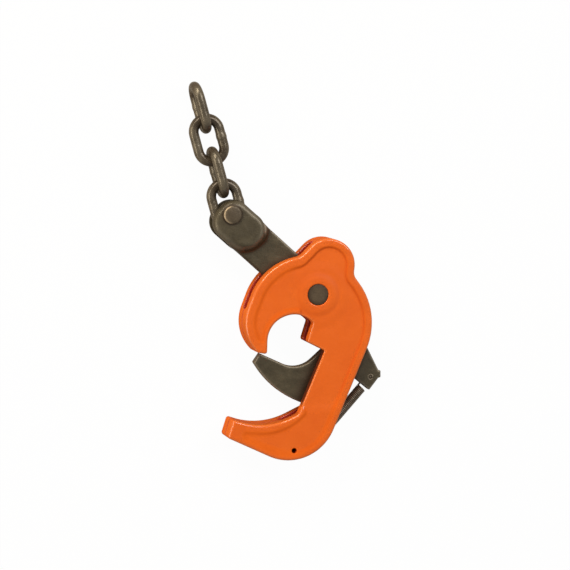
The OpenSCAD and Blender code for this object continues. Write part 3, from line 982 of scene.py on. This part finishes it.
lever = joined("lifting_lever_forging", [lever_plate, clevis_block])
lever.data.shade_smooth()
lever.data.set_sharp_from_angle(angle=math.radians(40))
placed(lever, STEEL, "lever", "lifting_lever")


# Clevis pin: a turned load pin of oiled alloy steel with a low domed head, pushed through the clevis
# and the first link, and grooved at its plain end for the ring. A painted highlight lies on the nose
# side of its head's rim.
HEAD_R_PIN = 7.0
clevis_low, clevis_high = MID_Z - CLEVIS_T / 2, MID_Z + CLEVIS_T / 2
RING_T, RING_GROOVE, RING_GAP = 1.0, 0.8, 0.1
pin_r = CLEVIS_PIN_D / 2
pin_low = clevis_low - RING_T - 1.1
head_top = clevis_high + 2.3
HEAD_ROUND = 1.5
head_turns = [math.pi / 2 * k / 6 for k in range(7)]
clevis_pin = turned_piece("clevis_pin_turned", [
    (0, pin_low), (pin_r - 0.6, pin_low), (pin_r - 0.2, pin_low + 0.15), (pin_r, pin_low + 0.5),
    (pin_r, clevis_low - RING_T - RING_GAP), (pin_r - RING_GROOVE, clevis_low - RING_T - RING_GAP),
    (pin_r - RING_GROOVE, clevis_low), (pin_r, clevis_low), (pin_r, clevis_high),
    (HEAD_R_PIN, clevis_high)] + [
    (HEAD_R_PIN - HEAD_ROUND + HEAD_ROUND * math.cos(a),
     head_top - 0.25 - HEAD_ROUND + HEAD_ROUND * math.sin(a)) for a in head_turns] + [
    (HEAD_R_PIN * 0.5, head_top - 0.08), (0, head_top)], clevis_pin_at)
clevis_pin.data.set_sharp_from_angle(angle=math.radians(50))
spots = vertices_mm(clevis_pin)
rim_of_head = band(from_centre(spots, clevis_pin_at) - HEAD_R_PIN + 0.7, 0.5)
lit_side = ease((1 - spots[:, 0] + clevis_pin_at[0]) / 6)
# Painted highlight: a light crescent on the head's rim, on its nose side only.
store(clevis_pin, arris=rim_of_head * lit_side * (spots[:, 2] > clevis_high + 0.8) * 1.6,
      hollow=spots[:, 2] < 0)
# The same steel, with a tan colour for the painted highlight.
PIN_STEEL_HIGHLIGHTED = dark_steel(
    "pin_steel_painted_highlight", (0.125, 0.093, 0.058), (0.068, 0.05, 0.03), (0.62, 0.47, 0.30))
placed(clevis_pin, PIN_STEEL_HIGHLIGHTED, "lever", "clevis_pin")


# Small spring-steel pieces: the open ring on the clevis pin, the slotted roll pin in the tail and the
# plain anchor pin inside the leg. They are hardened, and the ring and the anchor pin are blued.
def blued_steel():
    mat, tree, shader = material("blued_spring_steel", Roughness=0.35, Metallic=0.5)
    colour = mottled(
        tree, [(0.3, (0.11, 0.085, 0.06)), (0.7, (0.25, 0.195, 0.14))],
        Cloud_Scale=300, Fleck_Scale=2500, Flecks=0.5)
    surfaced(
        tree, shader, colour, Coarse_Scale=500, Fine_Scale=3000, Coarse_Height=0.05, Fine_Height=0.02)
    return mat


BLUED = blued_steel()


def split_tube(name, at, inner, outer, low, high, gap_half, turned_by, segments=64):
    """Open ring: a tube with a gap, its rims bevelled."""
    bevel = min(0.15, (outer - inner) * 0.25)
    section = [
        (inner, low + bevel), (inner + bevel, low), (outer - bevel, low), (outer, low + bevel),
        (outer, high - bevel), (outer - bevel, high), (inner + bevel, high), (inner, high - bevel)]
    points = []
    for k in range(segments + 1):
        a = math.radians(turned_by) + gap_half + (2 * math.pi - 2 * gap_half) * k / segments
        points += [(at[0] + r * math.cos(a), at[1] + r * math.sin(a), z) for r, z in section]
    n = len(section)
    faces = [tuple(range(n)), tuple(segments * n + i for i in range(n - 1, -1, -1))]
    for k in range(segments):
        for i in range(n):
            j = (i + 1) % n
            faces.append((k * n + i, (k + 1) * n + i, (k + 1) * n + j, k * n + j))
    obj = shell(name, points, faces)
    obj.data.shade_smooth()
    obj.data.set_sharp_from_angle(angle=math.radians(50))
    return obj


ring_low = clevis_low - RING_T - RING_GAP / 2
pin_ring = split_tube(
    "clevis_pin_ring_sprung", clevis_pin_at, pin_r - RING_GROOVE + 0.05, pin_r + 2,
    ring_low, ring_low + RING_T, 0.5, ARM_A)
placed(pin_ring, BLUED, "lever", "clevis_pin_ring")
SHADE_FILL_IN = 0.5
BORE_R = ROLL_PIN_D * 0.28
SHADE_FILL_R = ROLL_PIN_D * 0.275
roll_low, roll_high = MID_Z - LEVER_T / 2, MID_Z + LEVER_T / 2
# A plug a little inside the bore stands in for the hole's shade.
roll_pin = joined("tail_roll_pin_rolled", [
    split_tube("roll", tail_pin_at, BORE_R, ROLL_PIN_D / 2, roll_low, roll_high, 0.1, -20),
    turned_piece("painted_shadow", [
        (0, roll_low + SHADE_FILL_IN), (SHADE_FILL_R, roll_low + SHADE_FILL_IN),
        (SHADE_FILL_R, roll_high - SHADE_FILL_IN), (0, roll_high - SHADE_FILL_IN)], tail_pin_at, 32)])
spots = vertices_mm(roll_pin)
in_bore = from_centre(spots, tail_pin_at) < (BORE_R + SHADE_FILL_R) / 2
# Painted shade on the plug inside the bore.
store(roll_pin, arris=in_bore * 0, hollow=in_bore * 0.6)
ROLLED = dark_steel("rolled_spring_steel", (0.22, 0.18, 0.125), (0.13, 0.105, 0.07))
placed(roll_pin, ROLLED, "lever", "tail_roll_pin")
anchor_reach = SLOT_W / 2 + 3.5
anchor_pin = turned_piece(
    "spring_anchor_pin_turned", edged(ROLL_PIN_D / 2, MID_Z - anchor_reach, MID_Z + anchor_reach, 0.4),
    anchor)
placed(anchor_pin, BLUED, "clamp_body", "spring_anchor_pin")


# Closing spring: a close-wound extension spring with a side hook at each end, one round the
# anchor pin in the leg and one round the roll pin in the tail.
def wire_tree():
    """Geometry nodes: a round bar swept along the object's own path, swelled by an attribute."""
    tree = bpy.data.node_groups.new("bar_on_path", "GeometryNodeTree")
    for title, direction, kind in (
            ("Geometry", "INPUT", "Geometry"), ("Bar Radius", "INPUT", "Float"),
            ("Sides", "INPUT", "Int"), ("Material", "INPUT", "Material"),
            ("Geometry", "OUTPUT", "Geometry")):
        tree.interface.new_socket(title, in_out=direction, socket_type="NodeSocket" + kind)
    new = tree.nodes.new
    given = new("NodeGroupInput")
    out = new("NodeGroupOutput")
    path = new("GeometryNodeMeshToCurve")
    ring = new("GeometryNodeCurvePrimitiveCircle")
    swell = new("GeometryNodeInputNamedAttribute")
    swell.data_type = "FLOAT"
    swell.inputs["Name"].default_value = "swell"
    sweep = new("GeometryNodeCurveToMesh")
    smooth = new("GeometryNodeSetShadeSmooth")
    real = new("GeometryNodeRealizeInstances")
    paint = new("GeometryNodeSetMaterial")
    link = tree.links.new
    link(given.outputs["Geometry"], path.inputs[0])
    link(given.outputs["Bar Radius"], ring.inputs["Radius"])
    link(given.outputs["Sides"], ring.inputs["Resolution"])
    link(path.outputs[0], sweep.inputs["Curve"])
    link(swell.outputs["Attribute"], sweep.inputs["Scale"])
    link(ring.outputs[0], sweep.inputs["Profile Curve"])
    sweep.inputs["Fill Caps"].default_value = True
    link(sweep.outputs[0], smooth.inputs["Geometry"])
    link(smooth.outputs[0], real.inputs[0])
    link(real.outputs[0], paint.inputs["Geometry"])
    link(given.outputs["Material"], paint.inputs["Material"])
    link(paint.outputs[0], out.inputs[0])
    return tree


BAR = wire_tree()


def set_input(modifier, name, value):
    """Sets a modifier's input by the identifier of the socket with this name."""
    for item in modifier.node_group.interface.items_tree:
        if item.item_type == "SOCKET" and item.in_out == "INPUT" and item.name == name:
            modifier[item.identifier] = value


def bar_on_path(name, path, swell, radius, sides, mat, closed):
    """Plain mesh of a round bar along a path of points in millimetres."""
    n = len(path)
    edges = [(i, i + 1) for i in range(n - 1)] + ([(n - 1, 0)] if closed else [])
    obj = shell(name, path, [], edges)
    keep_mask(obj.data, "swell", "POINT", swell)
    step = obj.modifiers.new("bar", "NODES")
    step.node_group = BAR
    set_input(step, "Bar Radius", radius * MM)
    set_input(step, "Sides", sides)
    set_input(step, "Material", mat)
    applied(obj)
    return obj


SPRING_D = 7.8
COIL_LEN = 42.0
COIL_START = 12.4
COIL_OFF = 1.0
TURN_STEPS = 26
HOOK_STEPS = 18
HOOK_OPEN = -80
coil_r = (SPRING_D - SPRING_WIRE) / 2
hook_r = ROLL_PIN_D / 2 + 0.2 + SPRING_WIRE / 2
turns = math.floor(COIL_LEN / SPRING_WIRE)
coil_run = turns * SPRING_WIRE


def spring_path():
    """Points along the wire, in the spring's own frame: X along it, the anchor at the origin."""
    def hook(centre_x, sign, first, last):
        a = np.radians(np.linspace(first, last, HOOK_STEPS))
        return np.stack([centre_x + sign * hook_r * np.cos(a), hook_r * np.sin(a), 0 * a], 1)

    k = np.arange(turns * TURN_STEPS + 1)
    a = 2 * math.pi * k / TURN_STEPS + math.pi / 2
    wound = np.stack([
        COIL_START + SPRING_WIRE / 2 + (coil_run - SPRING_WIRE) * k / (turns * TURN_STEPS),
        coil_r * np.sin(a) - COIL_OFF, coil_r * np.cos(a)], 1)
    edge = coil_r - COIL_OFF
    lead_in = np.linspace((1.5, hook_r, 0), (COIL_START - 0.8, edge, 0), 6)
    lead_out = np.linspace((COIL_START + coil_run + 0.8, edge, 0), (SPRING_SPAN - 1.5, hook_r, 0), 4)
    return np.concatenate([
        hook(0, -1, HOOK_OPEN, 90), lead_in, wound, lead_out, hook(SPRING_SPAN, 1, 90, HOOK_OPEN)])


local_path = spring_path()
axis_x, axis_y = ray(SPRING_A), ray(SPRING_A + 90)
world_path = np.column_stack([
    anchor + local_path[:, :2] @ np.stack([axis_x, axis_y]), MID_Z + local_path[:, 2]])
spring = bar_on_path(
    "closing_spring_wire", world_path, np.ones(len(world_path)), SPRING_WIRE / 2, 10, BLUED, False)
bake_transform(spring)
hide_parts("closing_spring")


# Lifting chain: four links bent from round alloy bar, butt welded on one side, where the upset
# leaves a low bead, and blackened with the rest. Each hangs in the crown of the one below it.
CHAIN_WIRE = 7.4
LINK_LEN = 25.2
LINK_W = 12.2
CHAIN_LEAN = 15.3
CHAIN_PLAY = 0.2
CHAIN_SIDE = 0.4
SIDE_STEPS = 21
BOW_STEPS = 28
BEAD_Y = 1.9
bow_r = (LINK_W + CHAIN_WIRE) / 2
bow_y = (LINK_LEN - LINK_W) / 2


def link_path():
    """Centre line of a link, its length along Y, and its swell at the weld up the +X side."""
    side = np.linspace(-bow_y, bow_y, SIDE_STEPS + 1)[:-1]
    path = []
    for sign in (1, -1):
        path += [(sign * bow_r, sign * y, 0) for y in side]
        for k in range(BOW_STEPS):
            a = math.pi * k / BOW_STEPS
            path.append((sign * bow_r * math.cos(a), sign * (bow_y + bow_r * math.sin(a)), 0))
    swell = np.ones(len(path))
    swell[:SIDE_STEPS] += 0.085 * band(side, 1.5) + 0.035 * band(side - BEAD_Y, 0.6)
    return path, swell


CHAIN_STEEL = dark_steel(
    "blackened_chain_steel", (0.20, 0.165, 0.115), (0.055, 0.042, 0.026), roughness=0.27)


def chain_link(number):
    """Link number 1 is on the clevis pin and lies flat, and every other one stands on edge."""
    along = LINK_LEN / 2 - CLEVIS_PIN_D / 2 - CHAIN_PLAY + (number - 1) * (LINK_LEN - CHAIN_PLAY)
    at = clevis_pin_at + ray(90 + CHAIN_LEAN, along) + ray(180 + CHAIN_LEAN, CHAIN_SIDE)
    turn = Matrix.Rotation(math.radians(CHAIN_LEAN), 4, "Z")
    if number % 2 == 0:
        turn = turn @ Matrix.Rotation(math.pi / 2, 4, "Y")
    place = Matrix.Translation((at[0], at[1], MID_Z)) @ turn
    path, swell = link_path()
    obj = bar_on_path(
        "chain_link_%d_bent" % number, [tuple(place @ Vector(p)) for p in path], swell,
        CHAIN_WIRE / 2, 28, CHAIN_STEEL, True)
    local = np.array([tuple(place.inverted() @ Vector(p)) for p in vertices_mm(obj)])
    crown = np.abs(local[:, 1]) > LINK_LEN / 2 - 1.2
    seat = band(np.hypot(local[:, 0], local[:, 2]) - 1, 3.2)
    contact = seat * crown * (np.abs(local[:, 1]) < LINK_LEN / 2 + 1.4)
    bead = band(local[:, 1] - BEAD_Y, 0.45) * (local[:, 0] > 0)
    # Painted shade on each link's inner sides, where the next link crowds them, and darker towards the
    # lower end.
    inner_side = ease((bow_r + 1 - np.abs(local[:, 0])) / 3) * ease((np.abs(local[:, 1]) - 4) / 6)
    lower_end = ease((-local[:, 1] - LINK_LEN / 2 + 1) / 6)
    shade_and_dark_ends = np.maximum(inner_side * 0.6, lower_end * 0.8) * (1 - contact)
    store(obj, arris=contact * 0.5 + bead * 0.2, hollow=shade_and_dark_ends)
    return obj


for number in range(1, 5):
    placed(chain_link(number), None, "link_%d" % number, "chain_link_%d" % number)


# Stage: a white floor right under the clamp, which lies on its side, and soft studio lamps: a wide
# one from the upper right, a long one from behind for the rim's glints and one from the left.
FLOOR_HALF = 3000
FLOOR_Z = -0.3
FLOOR_GLOW = 0.97


def floor_piece():
    """White to the camera, with the clamp's shadow, and a dull beige to everything else."""
    obj = shell("studio_floor", [
        (x * FLOOR_HALF, y * FLOOR_HALF, FLOOR_Z)
        for x, y in ((-1, -1), (1, -1), (1, 1), (-1, 1))], [(0, 1, 2, 3)])
    mat = bpy.data.materials.new("studio_floor")
    mat.use_nodes = True
    tree = mat.node_tree
    tree.nodes.clear()

    def plain(kind, colour):
        node = tree.nodes.new("ShaderNode" + kind)
        node.inputs["Color"].default_value = (*colour, 1)
        return node.outputs[0]

    def mixed(first, second):
        node = tree.nodes.new("ShaderNodeMixShader")
        tree.links.new(first, node.inputs[1])
        tree.links.new(second, node.inputs[2])
        return node

    pale = mixed(plain("BsdfDiffuse", (0.8, 0.8, 0.8)), plain("Emission", (1, 1, 1)))
    pale.inputs[0].default_value = FLOOR_GLOW
    both = mixed(plain("BsdfDiffuse", (0.54, 0.49, 0.43)), pale.outputs[0])
    path = tree.nodes.new("ShaderNodeLightPath")
    tree.links.new(path.outputs["Is Camera Ray"], both.inputs[0])
    out = tree.nodes.new("ShaderNodeOutputMaterial")
    tree.links.new(both.outputs[0], out.inputs["Surface"])
    obj.data.materials.append(mat)


def soft_lamp(name, direction, distance, size, power, colour):
    """A lamp of so many metres and watts, out in this direction, that shines on the main pin."""
    data = bpy.data.lights.new(name, "AREA")
    data.shape = "RECTANGLE"
    data.size, data.size_y = size
    data.energy = power
    data.color = colour
    place = Vector(direction).normalized() * distance
    lamp = in_scene(name, data)
    lamp.matrix_world = Matrix.Translation(place) @ place.to_track_quat("Z", "Y").to_matrix().to_4x4()


floor_piece()
soft_lamp(
    "key", direction=(0.47, 0.42, 0.78), distance=2.5, size=(1.2, 1.2), power=29,
    colour=(1, 0.97, 0.92))
soft_lamp(
    "strip", direction=(-0.40, 0.78, 0.50), distance=2.0, size=(1.5, 0.5), power=24,
    colour=(1, 0.91, 0.74))
soft_lamp(
    "left", direction=(-0.88, -0.05, 0.42), distance=2.0, size=(1.6, 0.8), power=18,
    colour=(1, 0.91, 0.74))
world = bpy.data.worlds.new("studio")
world.use_nodes = True
set_inputs(world.node_tree.nodes["Background"], {"Color": (1, 1, 1, 1), "Strength": 0.29})
bpy.context.scene.world = world
bpy.context.scene.view_settings.view_transform = "Standard"
